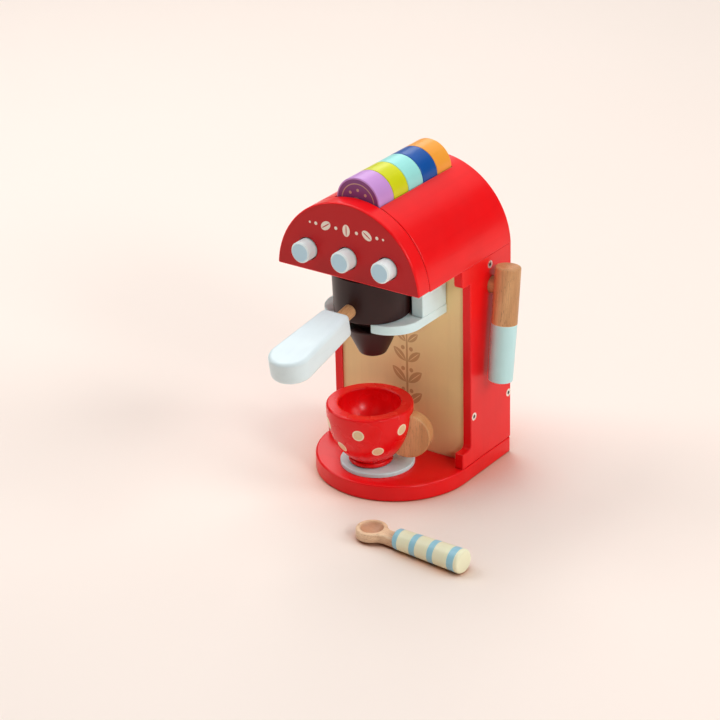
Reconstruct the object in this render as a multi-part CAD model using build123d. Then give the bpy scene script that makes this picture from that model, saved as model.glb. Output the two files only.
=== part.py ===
from build123d import *
import os
from math import asin, cos, degrees, radians, sqrt

os.makedirs("parts", exist_ok=True)

# Toy coffee maker in painted wood, in millimetres.
# +X is the user's right, the front faces -Y and +Z is up.
# The origin is on the underside, below the middle of the head.

# ---------------------------------------------------------------- driving dimensions

# Clearances
SEAT_GAP = 0.3  # a loose piece over what carries it
FACE_GAP = 0.2  # between flat faces that turn or slide past each other
BORE_GAP = 0.05  # radial, shaft in its bore
HEAD_GAP = 0.5  # portafilter below the head

# Housing
HOUSING_WIDTH = 121.2
BASE_THICK = 13.0
BASE_LIP = 3.0  # base in front of the head's front face
BASE_EDGE = 1.5
BAY_HEIGHT = 158.0  # from the base to the head
SIDE_THICK = 6.7
PANEL_THICK = 6.0
FRONT_PANEL_Y = 6.8
POST_Y = 5.5  # front of a side panel's post
ARM_REACH = 11.0  # arm and foot in front of the post
ARM_HEIGHT = 14.0
ARM_CORNER = 3.7
FOOT_HEIGHT = 12.0
FOOT_FILLET = 3.5
TOP_BOARD_THICK = 15.0
BOARD_EDGE = 0.8

# Screws through the side panels
SCREW_HEAD_RADIUS = 3.0
SCREW_HEAD_DEPTH = 2.2
SCREW_RADIUS = 1.4
SCREW_LENGTH = 22.0
SOCKET_RADIUS = 1.2
SOCKET_DEPTH = 1.4
LOW_SCREW_RISE = 37.4  # above the base
TOP_SCREW_SHIFT = -1.8  # in front of the middle of the top board

# Head, stacked upwards from its underside
HEAD_FLOOR_THICK = 9.5
KNOB_FLOOR_GAP = 0.5
COLLAR_RADIUS = 6.5
KNOB_TRAY_GAP = 8.6
TRAY_THICK = 4.0
POD_RADIUS = 18.2
POD_X = 0.6  # pods stand nearer the right rail
POD_DROP = 3.4  # axis of the pods below the crown
BARREL_WALL = 5.0

# Head, stacked from the front to the back
HEAD_FRONT_THICK = 14.0
HEAD_BACK_THICK = 13.8
HEAD_EDGE = 1.3
POD_THICK = 18.2
POD_EDGE = 0.7
POD_COLOURS = ["lilac", "lime", "aqua", "navy", "orange"]
SLOT_MARGIN = 1.2  # slot edge beside the pods
RAIL_MARGIN = 0.2  # rail behind the slot edge
RAIL_THICK = 5.0

# Knobs
KNOB_RADIUS = 7.8
KNOB_REACH = 9.5
KNOB_CHAMFER = 1.0
KNOB_RING = 0.8  # open ring round a knob
KNOB_SINK = 3.0
STEM_RADIUS = 3.95
COLLAR_THICK = 4.0
KNOB_RAIL_GAP = 2.9

# Portafilter
PORTA_Y = -30.5
PORTA_TOP_RADIUS = 28.6
PORTA_FOOT_RADIUS = 27.6
PORTA_EDGE = 1.2
HOPPER_RADIUS = 19.0
HOPPER_DEPTH = 18.0
HOPPER_FLOOR_FILLET = 3.0
NECK_RADIUS = 11.8
NECK_SHOW = 2.0  # neck between the bracket and the spout
SPOUT_TOP_RADIUS = 21.0
SPOUT_TIP_RADIUS = 9.6
SPOUT_HEIGHT = 23.7
SPOUT_EDGE = 3.0
DOWEL_RADIUS = 5.0
DOWEL_RISE = 9.1  # above the foot of the body
DOWEL_DROOP = 10.0  # degrees
DOWEL_SHOW = 13.2
DOWEL_SEAT = 7.0
DOWEL_GRIP = 18.0
GRIP_LENGTH = 72.5
GRIP_ROOT_WIDTH = 22.9
GRIP_END_WIDTH = 31.5
GRIP_THICK = 17.3
GRIP_ROOT_CORNER = 4.0
GRIP_EDGE = 3.0

# Bracket that carries the portafilter
CHEEK_THICK = 9.7
CHEEK_MARGIN = 0.8  # cheek beside the portafilter
CHEEK_HEIGHT = 34.0
CHEEK_REACH = 30.4  # in front of the front panel
BRACKET_THICK = 7.2
BRACKET_REACH = 58.3  # in front of the front panel
BRACKET_CORNER = 24.5
BRACKET_MARGIN = 0.8  # slot beside the neck
MOUTH_CORNER = 1.2

# Drip disc and cup
DISC_RADIUS = 27.5
DISC_THICK = 3.0
DISC_X = -0.8
DISC_Y = -26.5
DISC_EDGE = 0.8
CUP_X = -2.8
CUP_Y = -32.2
CUP_RADIUS = 32.0
CUP_FOOT_RADIUS = 16.4
CUP_WAIST_RADIUS = 14.5
CUP_FOOT_HEIGHT = 4.2
CUP_BULGE = 38.9  # from the waist to the widest place
CUP_LIP_RADIUS = 4.4
CUP_BOWL_RADIUS = 22.9
CUP_BOWL_RISE = 1.5  # middle of the bowl above the widest place
CUP_BOWL_EDGE = 1.2
CUP_HANDLE_RADIUS = 17.4
CUP_HANDLE_THICK = 11.4
CUP_HANDLE_RISE = 24.6
CUP_HANDLE_INSET = 3.1
CUP_HANDLE_ANGLE = 20.0  # degrees, from +X towards the back
CUP_HANDLE_EDGE = 1.3
CUP_PEG_RADIUS = 3.0
CUP_PEG_LENGTH = 20.0

# Frother on the right side
FROTHER_RADIUS = 9.5
FROTHER_GAP = 2.9  # between the wand and the side panel
FROTHER_Y = 34.4
FROTHER_DROP = 24.0  # pivot below the head
FROTHER_TILT = 6.8  # degrees, lower end forwards
FROTHER_ABOVE = 16.4  # wand above its pivot
FROTHER_WOOD = 43.1
FROTHER_TIP = 44.4
FROTHER_TIP_RADIUS = 9.1
FROTHER_EDGE = 1.6
PEG_RADIUS = 6.5
PEG_INNER = 6.0  # peg inside the housing
PEG_SEAT = 12.5  # peg inside the wand

# Spoon beside the machine
SPOON_X = 48.7
SPOON_Y = -105.8
SPOON_ANGLE = -4.3  # degrees
SCOOP_RADIUS = 11.6
SCOOP_HEIGHT = 7.4
SCOOP_RISE = 1.8  # underside above the ground
BOWL_RADIUS = 8.9
BOWL_DEPTH = 5.3
SPOON_NECK_WIDTH = 10.4
SPOON_NECK_END = 23.2  # from the middle of the scoop
SPOON_NECK_FILLET = 9.0
SPOON_EDGE = 1.4
SPOON_HANDLE_LENGTH = 58.5
SPOON_ROOT_RADIUS = 7.6
SPOON_END_RADIUS = 9.0
SPOON_END_EDGE = 2.0
TENON_RADIUS = 2.2
TENON_LENGTH = 12.0

# ---------------------------------------------------------------- derived places

half_width = HOUSING_WIDTH / 2
side_inner = half_width - SIDE_THICK
head_z = BASE_THICK + BAY_HEIGHT
pod_count = len(POD_COLOURS)
pod_bay = pod_count * POD_THICK + (pod_count + 1) * FACE_GAP
head_length = HEAD_FRONT_THICK + pod_bay + HEAD_BACK_THICK
back_y = head_length / 2
head_front_y = -back_y
bay_front_y = head_front_y + HEAD_FRONT_THICK
bay_back_y = bay_front_y + pod_bay
base_front_y = head_front_y - BASE_LIP
front_panel_back_y = FRONT_PANEL_Y + PANEL_THICK
back_panel_front_y = back_y - PANEL_THICK
top_board_y = (front_panel_back_y + back_panel_front_y) / 2
top_board_z = head_z - TOP_BOARD_THICK

head_floor_top = head_z + HEAD_FLOOR_THICK
knob_z = head_floor_top + KNOB_FLOOR_GAP + COLLAR_RADIUS
tray_bottom = knob_z + COLLAR_RADIUS + KNOB_TRAY_GAP
tray_top = tray_bottom + TRAY_THICK
pod_z = tray_top + SEAT_GAP + POD_RADIUS
crown_z = pod_z + POD_DROP
head_rise = crown_z - head_z
head_radius = (head_rise**2 + half_width**2) / (2 * head_rise)
head_axis_z = crown_z - head_radius
slot_half = POD_RADIUS + SLOT_MARGIN
rail_inner = slot_half + RAIL_MARGIN
rail_outer = rail_inner + RAIL_THICK
knob_pitch = rail_outer + KNOB_RAIL_GAP + COLLAR_RADIUS

cheek_inner = PORTA_TOP_RADIUS + CHEEK_MARGIN
cheek_outer = cheek_inner + CHEEK_THICK
bracket_top = head_z - CHEEK_HEIGHT
bracket_bottom = bracket_top - BRACKET_THICK
bracket_front_y = FRONT_PANEL_Y - BRACKET_REACH
porta_bottom = bracket_top + SEAT_GAP
porta_top = head_z - HEAD_GAP
spout_top = bracket_bottom - NECK_SHOW
dowel_z = porta_bottom + DOWEL_RISE
grip_place = Pos(0, PORTA_Y - PORTA_TOP_RADIUS, dowel_z) * Rot(DOWEL_DROOP, 0, 0)

disc_top = BASE_THICK + DISC_THICK
cup_waist = CUP_FOOT_HEIGHT
cup_wide = cup_waist + CUP_BULGE
cup_top = cup_wide + CUP_LIP_RADIUS
cup_bowl_z = cup_wide + CUP_BOWL_RISE
cup_place = Pos(CUP_X, CUP_Y, disc_top) * Rot(0, 0, CUP_HANDLE_ANGLE)
cup_handle_x = CUP_RADIUS - CUP_HANDLE_INSET

wand_x = half_width + FROTHER_GAP + FROTHER_RADIUS
pivot_z = head_z - FROTHER_DROP
wand_place = Pos(wand_x, FROTHER_Y, pivot_z) * Rot(-FROTHER_TILT, 0, 0)

spoon_place = Pos(SPOON_X, SPOON_Y, 0) * Rot(0, 0, SPOON_ANGLE)
spoon_lift = degrees(asin((SPOON_END_RADIUS - SPOON_ROOT_RADIUS) / SPOON_HANDLE_LENGTH))


# ---------------------------------------------------------------- shared shapes

def block(x_span, y_span, z_span):
    """Rectangular block between two ends along each axis."""
    sizes = [high - low for low, high in (x_span, y_span, z_span)]
    middles = [(low + high) / 2 for low, high in (x_span, y_span, z_span)]
    return Pos(*middles) * Box(*sizes)


def rod_x(radius, x_span):
    """Round rod along X through the origin of its frame."""
    return Pos(sum(x_span) / 2, 0, 0) * Rot(0, 90, 0) * Cylinder(radius, x_span[1] - x_span[0])


def rod_y(radius, y_span):
    """Round rod along Y through the origin of its frame."""
    return Pos(0, sum(y_span) / 2, 0) * Rot(90, 0, 0) * Cylinder(radius, y_span[1] - y_span[0])


def turned(*outline):
    """Solid turned about Z from a closed half outline in the XZ plane."""
    return revolve(Plane.XZ * make_face(Curve() + list(outline)), Axis.Z)


def head_round(inset, y_span):
    """Half-round block with the head's outline, moved in by inset."""
    drum = Pos(0, 0, head_axis_z) * rod_y(head_radius - inset, y_span)
    return drum & block((-half_width, half_width), y_span, (head_z, crown_z))


# ---------------------------------------------------------------- screws

def screw():
    """Countersunk screw along -X with its head at the origin."""
    cone = Pos(-SCREW_HEAD_DEPTH / 2, 0, 0) * Rot(0, 90, 0) * Cone(
        SCREW_RADIUS, SCREW_HEAD_RADIUS, SCREW_HEAD_DEPTH
    )
    return cone + rod_x(SCREW_RADIUS, (-SCREW_LENGTH, -SCREW_HEAD_DEPTH))


def screw_with_socket():
    """The same screw with a square socket in its head."""
    side = SOCKET_RADIUS * sqrt(2)
    socket = block((-SOCKET_DEPTH, SCREW_HEAD_DEPTH), (-side / 2, side / 2), (-side / 2, side / 2))
    return screw() - socket


def screw_places(side):
    """Frames of the three screws in a side panel: top board, back panel, front panel."""
    low_z = BASE_THICK + LOW_SCREW_RISE
    points = [
        (top_board_y + TOP_SCREW_SHIFT, head_z - TOP_BOARD_THICK / 2),
        (back_y - PANEL_THICK / 2, low_z),
        (FRONT_PANEL_Y + PANEL_THICK / 2, low_z),
    ]
    turn = Rot(0, 0, 0) if side > 0 else Rot(0, 0, 180)
    return [Pos(side * half_width, y, z) * turn for y, z in points]


def screw_holes(part):
    """A part with the holes of all six screws."""
    for side in (-1, 1):
        for place in screw_places(side):
            part = part - place * screw()
    return part


def side_screws(side):
    """Three screws of one side."""
    return Compound(children=[place * screw_with_socket() for place in screw_places(side)])


# ---------------------------------------------------------------- housing

def base_plate():
    """Base board with a round front."""
    arc_y = base_front_y + half_width
    outline = Polyline(
        (-half_width, arc_y), (-half_width, back_y), (half_width, back_y), (half_width, arc_y)
    ) + ThreePointArc((half_width, arc_y), (0, base_front_y), (-half_width, arc_y))
    plate = extrude(make_face(outline), BASE_THICK)
    corners = plate.edges().filter_by(Axis.Z).group_by(Axis.Y)[-1]
    plate = fillet(corners, BASE_EDGE)
    return fillet(plate.edges().group_by(Axis.Z)[0] + plate.edges().group_by(Axis.Z)[-1], BASE_EDGE)


def side_panel(side):
    """C-shaped side board: an arm at the top, a foot at the bottom, a post between."""
    arm_y = POST_Y - ARM_REACH
    arm_z = head_z - ARM_HEIGHT
    foot_z = BASE_THICK + FOOT_HEIGHT
    outline = Polyline(
        (arm_y, BASE_THICK), (back_y, BASE_THICK), (back_y, head_z), (arm_y, head_z),
        (arm_y, arm_z), (POST_Y, arm_z), (POST_Y, foot_z), (arm_y, foot_z),
        close=True,
    )
    face = make_face(Plane.YZ * outline)
    start = side_inner if side > 0 else -half_width
    panel = Pos(start, 0, 0) * extrude(face, SIDE_THICK, dir=(1, 0, 0))
    across = panel.edges().filter_by(Axis.X)
    arm_edge = across.sort_by_distance((0, arm_y, arm_z))[0:1]
    panel = fillet(arm_edge, ARM_CORNER)
    foot_edge = panel.edges().filter_by(Axis.X).sort_by_distance((0, POST_Y, foot_z))[0:1]
    panel = fillet(foot_edge, FOOT_FILLET)
    outer = panel.edges().group_by(Axis.X)[-1 if side > 0 else 0]
    panel = fillet(outer, BOARD_EDGE)
    if side > 0:
        bore = rod_x(PEG_RADIUS + BORE_GAP, (side_inner, half_width))
        panel = panel - Pos(0, FROTHER_Y, pivot_z) * bore
    return screw_holes(panel)


def front_panel():
    """Plain board behind the cup, between the side panels."""
    return screw_holes(
        block((-side_inner, side_inner), (FRONT_PANEL_Y, front_panel_back_y), (BASE_THICK, head_z))
    )


def back_panel():
    """Plain board that closes the back."""
    return screw_holes(
        block((-side_inner, side_inner), (back_panel_front_y, back_y), (BASE_THICK, head_z))
    )


def top_board():
    """Cross board under the head that holds the side panels apart."""
    y_span = (front_panel_back_y, back_panel_front_y)
    return screw_holes(block((-side_inner, side_inner), y_span, (top_board_z, head_z)))


# ---------------------------------------------------------------- head

def head_front_plate():
    """Half-round front board with a sunk seat and a bore for each knob."""
    plate = fillet(head_round(0, (head_front_y, bay_front_y)).edges(), HEAD_EDGE)
    for knob_x in (-knob_pitch, 0, knob_pitch):
        place = Pos(knob_x, 0, knob_z)
        seat_span = (head_front_y, head_front_y + KNOB_SINK)
        plate = plate - place * rod_y(KNOB_RADIUS + KNOB_RING, seat_span)
        plate = plate - place * rod_y(STEM_RADIUS + BORE_GAP, (head_front_y, bay_front_y))
    return plate


def head_barrel():
    """Half-round shell with the slot for the pods in its crown."""
    y_span = (bay_front_y, back_y)
    shell = head_round(0, y_span)
    outer = [edge for edge in shell.edges() if edge.geom_type == GeomType.CIRCLE]
    shell = fillet(outer, BOARD_EDGE) - head_round(BARREL_WALL, y_span)
    return shell - block((-slot_half, slot_half), (bay_front_y, bay_back_y), (head_axis_z, crown_z))


def head_back_plate():
    """Half-round board inside the back end of the barrel."""
    return head_round(BARREL_WALL, (bay_back_y, back_y))


def head_floor():
    """Floor board of the head, which carries the pod rails."""
    level = block((-half_width, half_width), (bay_front_y, bay_back_y), (head_z, head_floor_top))
    return head_round(BARREL_WALL, (bay_front_y, bay_back_y)) & level


def pod_tray_floor():
    """Board under the pods, between the rails."""
    return block((-rail_inner, rail_inner), (bay_front_y, bay_back_y), (tray_bottom, tray_top))


def pod_rail(side):
    """Upright board beside the pods, from the head floor to the barrel."""
    x_span = sorted((side * rail_inner, side * rail_outer))
    upright = block(x_span, (bay_front_y, bay_back_y), (head_floor_top, crown_z))
    return head_round(BARREL_WALL, (bay_front_y, bay_back_y)) & upright


def pod(number):
    """Thick round pod, standing on its edge in the slot; number 0 is the front one."""
    middle_y = bay_front_y + FACE_GAP + POD_THICK / 2 + number * (POD_THICK + FACE_GAP)
    disc = rod_y(POD_RADIUS, (-POD_THICK / 2, POD_THICK / 2))
    return Pos(POD_X, middle_y, pod_z) * fillet(disc.edges(), POD_EDGE)


# ---------------------------------------------------------------- knobs

def knob(knob_x):
    """Turned knob with the stem that passes through the front plate."""
    face_y = head_front_y - KNOB_REACH
    shoulder_y = head_front_y + KNOB_SINK - FACE_GAP
    stem_end = bay_front_y + FACE_GAP + COLLAR_THICK
    head = rod_y(KNOB_RADIUS, (face_y, shoulder_y))
    head = chamfer(head.edges().group_by(Axis.Y)[0], KNOB_CHAMFER)
    return Pos(knob_x, 0, knob_z) * (head + rod_y(STEM_RADIUS, (shoulder_y, stem_end)))


def knob_collar(knob_x):
    """Ring on the stem behind the front plate, which keeps the knob in."""
    front = bay_front_y + FACE_GAP
    span = (front, front + COLLAR_THICK)
    return Pos(knob_x, 0, knob_z) * (rod_y(COLLAR_RADIUS, span) - rod_y(STEM_RADIUS, span))


# ---------------------------------------------------------------- bracket

def bracket_plate():
    """Flat plate with a slot, open to the front, for the portafilter's neck."""
    slot = NECK_RADIUS + BRACKET_MARGIN
    z_span = (bracket_bottom, bracket_top)
    plate = block((-cheek_outer, cheek_outer), (bracket_front_y, FRONT_PANEL_Y), z_span)
    front_corners = plate.edges().filter_by(Axis.Z).group_by(Axis.Y)[0]
    plate = fillet(front_corners, BRACKET_CORNER)
    plate = plate - block((-slot, slot), (bracket_front_y, PORTA_Y), z_span)
    plate = plate - Pos(0, PORTA_Y, (bracket_bottom + bracket_top) / 2) * Cylinder(slot, BRACKET_THICK)
    mouth = plate.edges().filter_by(Axis.Z).group_by(Axis.Y)[0]
    plate = fillet(mouth, MOUTH_CORNER)
    levels = plate.edges().group_by(Axis.Z)
    return fillet(levels[0] + levels[-1], BOARD_EDGE)


def bracket_cheek(side):
    """Upright board that hangs the bracket plate from the head."""
    x_span = sorted((side * cheek_inner, side * cheek_outer))
    cheek_front_y = FRONT_PANEL_Y - CHEEK_REACH
    cheek = block(x_span, (cheek_front_y, FRONT_PANEL_Y), (bracket_top, head_z))
    return fillet(cheek.edges(), BOARD_EDGE)


# ---------------------------------------------------------------- portafilter

def portafilter_body():
    """Turned cup with a hollow for the ground coffee, a neck and a spout below."""
    body_height = porta_top - porta_bottom
    hollow_z = body_height - HOPPER_DEPTH
    neck_end = spout_top - porta_bottom
    tip_z = neck_end - SPOUT_HEIGHT
    cup = turned(
        Polyline(
            (0, 0), (PORTA_FOOT_RADIUS, 0), (PORTA_TOP_RADIUS, body_height), (0, body_height), (0, 0)
        )
    )
    cup = fillet(cup.edges(), PORTA_EDGE)
    hollow = Pos(0, 0, hollow_z + HOPPER_DEPTH / 2) * Cylinder(HOPPER_RADIUS, HOPPER_DEPTH)
    hollow = fillet(hollow.edges().group_by(Axis.Z)[0], HOPPER_FLOOR_FILLET)
    neck = Pos(0, 0, neck_end / 2) * Cylinder(NECK_RADIUS, -neck_end)
    spout = turned(
        Polyline(
            (0, tip_z), (SPOUT_TIP_RADIUS, tip_z), (SPOUT_TOP_RADIUS, neck_end), (0, neck_end), (0, tip_z)
        )
    )
    spout = fillet(spout.edges().group_by(Axis.Z)[-1], PORTA_EDGE)
    spout = fillet(spout.edges().group_by(Axis.Z)[0], SPOUT_EDGE)
    body = Pos(0, PORTA_Y, porta_bottom) * (cup - hollow + neck + spout)
    return body - portafilter_dowel()


def portafilter_dowel():
    """Round dowel between the body and the grip."""
    return grip_place * rod_y(DOWEL_RADIUS, (-DOWEL_SHOW - DOWEL_GRIP, DOWEL_SEAT))


def portafilter_handle():
    """Paddle-shaped grip that widens to a round end."""
    end_radius = GRIP_END_WIDTH / 2
    root = GRIP_ROOT_WIDTH / 2
    root_y = -DOWEL_SHOW
    end_y = root_y - GRIP_LENGTH
    round_y = end_y + end_radius
    outline = Polyline(
        (-end_radius, round_y), (-root, root_y), (root, root_y), (end_radius, round_y)
    ) + ThreePointArc((end_radius, round_y), (0, end_y), (-end_radius, round_y))
    grip = extrude(make_face(outline), GRIP_THICK / 2, both=True)
    grip = fillet(grip.edges().filter_by(Axis.Z).group_by(Axis.Y)[-1], GRIP_ROOT_CORNER)
    levels = grip.edges().group_by(Axis.Z)
    grip = fillet(levels[0] + levels[-1], GRIP_EDGE)
    return grip_place * grip - portafilter_dowel()


# ---------------------------------------------------------------- drip disc and cup

def drip_disc():
    """Round plate that the cup stands on."""
    disc = Pos(DISC_X, DISC_Y, BASE_THICK + DISC_THICK / 2) * Cylinder(DISC_RADIUS, DISC_THICK)
    return fillet(disc.edges().group_by(Axis.Z)[-1], DISC_EDGE)


def cup_blank():
    """The cup's outer shape without its hollow, standing at the origin."""
    lip_x = CUP_RADIUS - CUP_LIP_RADIUS
    waist_share = CUP_WAIST_RADIUS / CUP_RADIUS
    ellipse_height = CUP_BULGE / sqrt(1 - waist_share**2)
    waist_angle = degrees(asin(waist_share))  # from straight down
    side = EllipticalCenterArc(
        (0, cup_wide), ellipse_height, CUP_RADIUS, waist_angle, arc_size=90 - waist_angle, rotation=-90
    )
    return turned(
        Polyline(
            (CUP_WAIST_RADIUS, cup_waist), (CUP_FOOT_RADIUS, 0), (0, 0), (0, cup_top), (lip_x, cup_top)
        ),
        side,
        CenterArc((lip_x, cup_wide), CUP_LIP_RADIUS, 0, 90),
    )


def cup_body():
    """Turned cup with a round bowl, a wide lip, rounded outside, and a narrow foot."""
    bowl = turned(
        Polyline(
            (0, cup_bowl_z - CUP_BOWL_RADIUS), (0, cup_top), (CUP_BOWL_RADIUS, cup_top),
            (CUP_BOWL_RADIUS, cup_bowl_z),
        ),
        CenterArc((0, cup_bowl_z), CUP_BOWL_RADIUS, -90, 90),
    )
    cup = cup_blank() - bowl
    mouth = cup.edges().filter_by(GeomType.CIRCLE).sort_by_distance((CUP_BOWL_RADIUS, 0, cup_top))[0:1]
    return cup_place * (fillet(mouth, CUP_BOWL_EDGE) - cup_peg())


def cup_peg():
    """Peg between cup and handle, in the cup's own frame."""
    return Pos(cup_handle_x, 0, CUP_HANDLE_RISE) * rod_x(
        CUP_PEG_RADIUS, (-CUP_PEG_LENGTH / 2, CUP_PEG_LENGTH / 2)
    )


def cup_handle():
    """Round wooden disc, hollowed where it meets the cup."""
    disc = rod_y(CUP_HANDLE_RADIUS, (-CUP_HANDLE_THICK / 2, CUP_HANDLE_THICK / 2))
    disc = Pos(cup_handle_x, 0, CUP_HANDLE_RISE) * fillet(disc.edges(), CUP_HANDLE_EDGE)
    return cup_place * (disc - cup_blank() - cup_peg())


def cup_handle_peg():
    """Hidden peg that holds the handle on the cup."""
    return cup_place * cup_peg()


# ---------------------------------------------------------------- frother

def frother_body():
    """Wooden upper part of the wand, with a blind bore for its peg."""
    wood = Pos(0, 0, FROTHER_ABOVE - FROTHER_WOOD / 2) * Cylinder(FROTHER_RADIUS, FROTHER_WOOD)
    wood = fillet(wood.edges().group_by(Axis.Z)[-1], FROTHER_EDGE)
    return wand_place * wood - frother_peg()


def frother_tip():
    """Painted lower part of the wand, a little tapered, with a rounded end."""
    top = FROTHER_ABOVE - FROTHER_WOOD
    tip = Pos(0, 0, top - FROTHER_TIP / 2) * Cone(FROTHER_TIP_RADIUS, FROTHER_RADIUS, FROTHER_TIP)
    tip = fillet(tip.edges().group_by(Axis.Z)[0], FROTHER_EDGE)
    return wand_place * tip


def frother_peg():
    """Peg that turns in the side panel's bore and is fixed in the wand."""
    start = side_inner - PEG_INNER
    end = half_width + FROTHER_GAP + PEG_SEAT
    return Pos(0, FROTHER_Y, pivot_z) * rod_x(PEG_RADIUS, (start, end))


# ---------------------------------------------------------------- spoon

def spoon_handle_blank():
    """Tapered round grip that lies on the ground, from its root to its end."""
    cone = Rot(0, 90, 0) * Pos(0, 0, SPOON_HANDLE_LENGTH / 2) * Cone(
        SPOON_ROOT_RADIUS, SPOON_END_RADIUS, SPOON_HANDLE_LENGTH
    )
    cone = fillet(cone.edges().group_by(Axis.X)[-1], SPOON_END_EDGE)
    cone = fillet(cone.edges().group_by(Axis.X)[0], SPOON_EDGE)
    return spoon_root() * cone


def spoon_root():
    """Frame at the middle of the grip's root, with X along the grip."""
    root_z = SPOON_ROOT_RADIUS / cos(radians(spoon_lift))
    return Pos(SPOON_NECK_END, 0, root_z) * Rot(0, -spoon_lift, 0)


def spoon_tenon():
    """Round tenon of the scoop in the grip."""
    return spoon_root() * rod_x(TENON_RADIUS, (0, TENON_LENGTH))


def spoon_scoop():
    """Flat round scoop with a bowl, and a neck towards the grip."""
    half_neck = SPOON_NECK_WIDTH / 2
    outline = Circle(SCOOP_RADIUS) + Pos(SPOON_NECK_END / 2, 0) * Rectangle(
        SPOON_NECK_END, SPOON_NECK_WIDTH
    )
    scoop = extrude(outline, SCOOP_HEIGHT)
    inner_x = sqrt(SCOOP_RADIUS**2 - half_neck**2)
    corners = [
        edge for edge in scoop.edges().filter_by(Axis.Z) if abs(edge.center().X - inner_x) < 0.01
    ]
    scoop = fillet(corners, SPOON_NECK_FILLET)
    levels = scoop.edges().group_by(Axis.Z)
    scoop = fillet(levels[0] + levels[-1], SPOON_EDGE)
    ball_radius = (BOWL_RADIUS**2 + BOWL_DEPTH**2) / (2 * BOWL_DEPTH)
    ball_z = SCOOP_HEIGHT - BOWL_DEPTH + ball_radius
    scoop = Pos(0, 0, SCOOP_RISE) * (scoop - Pos(0, 0, ball_z) * Sphere(ball_radius))
    return spoon_place * (scoop - spoon_handle_blank() + spoon_tenon())


def spoon_handle():
    """Tapered round grip with a bore for the scoop's tenon."""
    return spoon_place * (spoon_handle_blank() - spoon_tenon())


# ---------------------------------------------------------------- all nodes

nodes = {
    "base_plate": base_plate(),
    "front_panel": front_panel(),
    "back_panel": back_panel(),
    "top_board": top_board(),
    "head_front_plate": head_front_plate(),
    "head_barrel": head_barrel(),
    "head_back_plate": head_back_plate(),
    "head_floor": head_floor(),
    "pod_tray_floor": pod_tray_floor(),
    "bracket_plate": bracket_plate(),
    "drip_disc": drip_disc(),
    "portafilter_body": portafilter_body(),
    "portafilter_dowel": portafilter_dowel(),
    "portafilter_handle": portafilter_handle(),
    "cup_body": cup_body(),
    "cup_handle": cup_handle(),
    "cup_handle_peg": cup_handle_peg(),
    "frother_body": frother_body(),
    "frother_tip": frother_tip(),
    "frother_peg": frother_peg(),
    "spoon_scoop": spoon_scoop(),
    "spoon_handle": spoon_handle(),
}
for side_name, side_sign in (("left", -1), ("right", 1)):
    nodes[f"side_panel_{side_name}"] = side_panel(side_sign)
    nodes[f"side_screws_{side_name}"] = side_screws(side_sign)
    nodes[f"pod_rail_{side_name}"] = pod_rail(side_sign)
    nodes[f"bracket_cheek_{side_name}"] = bracket_cheek(side_sign)
for place_name, place_x in (("left", -knob_pitch), ("centre", 0), ("right", knob_pitch)):
    nodes[f"knob_{place_name}"] = knob(place_x)
    nodes[f"knob_collar_{place_name}"] = knob_collar(place_x)
for pod_number, pod_colour in enumerate(POD_COLOURS):
    nodes[f"pod_{pod_colour}"] = pod(pod_number)

for node_name, shape in nodes.items():
    export_step(shape, f"parts/{node_name}.step")
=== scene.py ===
from math import acos, asin, cos, pi, radians, sin

import bmesh
import bpy
from mathutils import Matrix, Vector


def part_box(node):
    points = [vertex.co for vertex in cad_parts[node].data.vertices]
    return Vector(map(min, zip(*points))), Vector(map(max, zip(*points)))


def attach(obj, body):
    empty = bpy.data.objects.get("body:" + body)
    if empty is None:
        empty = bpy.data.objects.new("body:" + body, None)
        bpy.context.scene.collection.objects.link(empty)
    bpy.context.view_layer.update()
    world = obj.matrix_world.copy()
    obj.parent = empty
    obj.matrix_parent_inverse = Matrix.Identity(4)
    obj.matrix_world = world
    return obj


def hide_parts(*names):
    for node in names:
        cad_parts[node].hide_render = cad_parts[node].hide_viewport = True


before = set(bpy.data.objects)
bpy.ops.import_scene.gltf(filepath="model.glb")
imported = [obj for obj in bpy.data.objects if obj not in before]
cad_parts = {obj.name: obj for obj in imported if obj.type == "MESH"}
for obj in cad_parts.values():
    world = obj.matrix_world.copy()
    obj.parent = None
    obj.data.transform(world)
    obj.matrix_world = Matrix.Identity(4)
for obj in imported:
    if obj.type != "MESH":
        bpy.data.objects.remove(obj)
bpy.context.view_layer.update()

# Toy coffee maker in painted wood. Metres, in the CAD model's frame:
# +X is the user's right, the front faces -Y and +Z is up.

MM = 0.001

# ---------------------------------------------------------------- camera, light and floor

CAMERA_TARGET = Vector((-22.36, -15.75, 85.32)) * MM
CAMERA_AZIMUTH = radians(35.52)
CAMERA_ELEVATION = radians(25.51)
CAMERA_ROLL = radians(-1.39)
CAMERA_DISTANCE = 1.896
FOCAL_PIXELS = 2583.49
IMAGE_PIXELS = 720
SENSOR_WIDTH = 36.0

LIGHT_TARGET = Vector((0, 0, 0.08))
# name: azimuth and elevation in degrees, distance, side in metres, watts
SOFT_BOXES = {
    "key_left": (-75, 50, 2.2, 1.0, 15.0),
    "key_high": (-125, 55, 2.2, 1.0, 11.0),
    "key_low": (-66, 24, 2.4, 0.8, 4.5),
    "key_behind": (-145, 32, 2.4, 1.0, 8.0),
    "fill_right": (68, 29, 2.4, 0.5, 14.7),
    "fill_behind": (110, 35, 2.4, 1.0, 16.8),
    "back": (180, 38, 2.4, 1.4, 5.3),
    "overhead": (0, 86, 2.2, 1.4, 14.0),
}
AMBIENT_COLOUR = (1.0, 0.97, 0.94, 1.0)
AMBIENT_STRENGTH = 0.01
BACKDROP_COLOUR = (0.98, 0.89, 0.82, 1.0)
FLOOR_HALF = 12.0
FLOOR_FADE = (1.0, 2.0)  # distance from the middle where the floor turns into the backdrop


def direction(azimuth, elevation):
    """Unit vector from the object; azimuth 0 is the front, 90 degrees is the user's right."""
    return Vector((sin(azimuth) * cos(elevation), -cos(azimuth) * cos(elevation), sin(elevation)))


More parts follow.
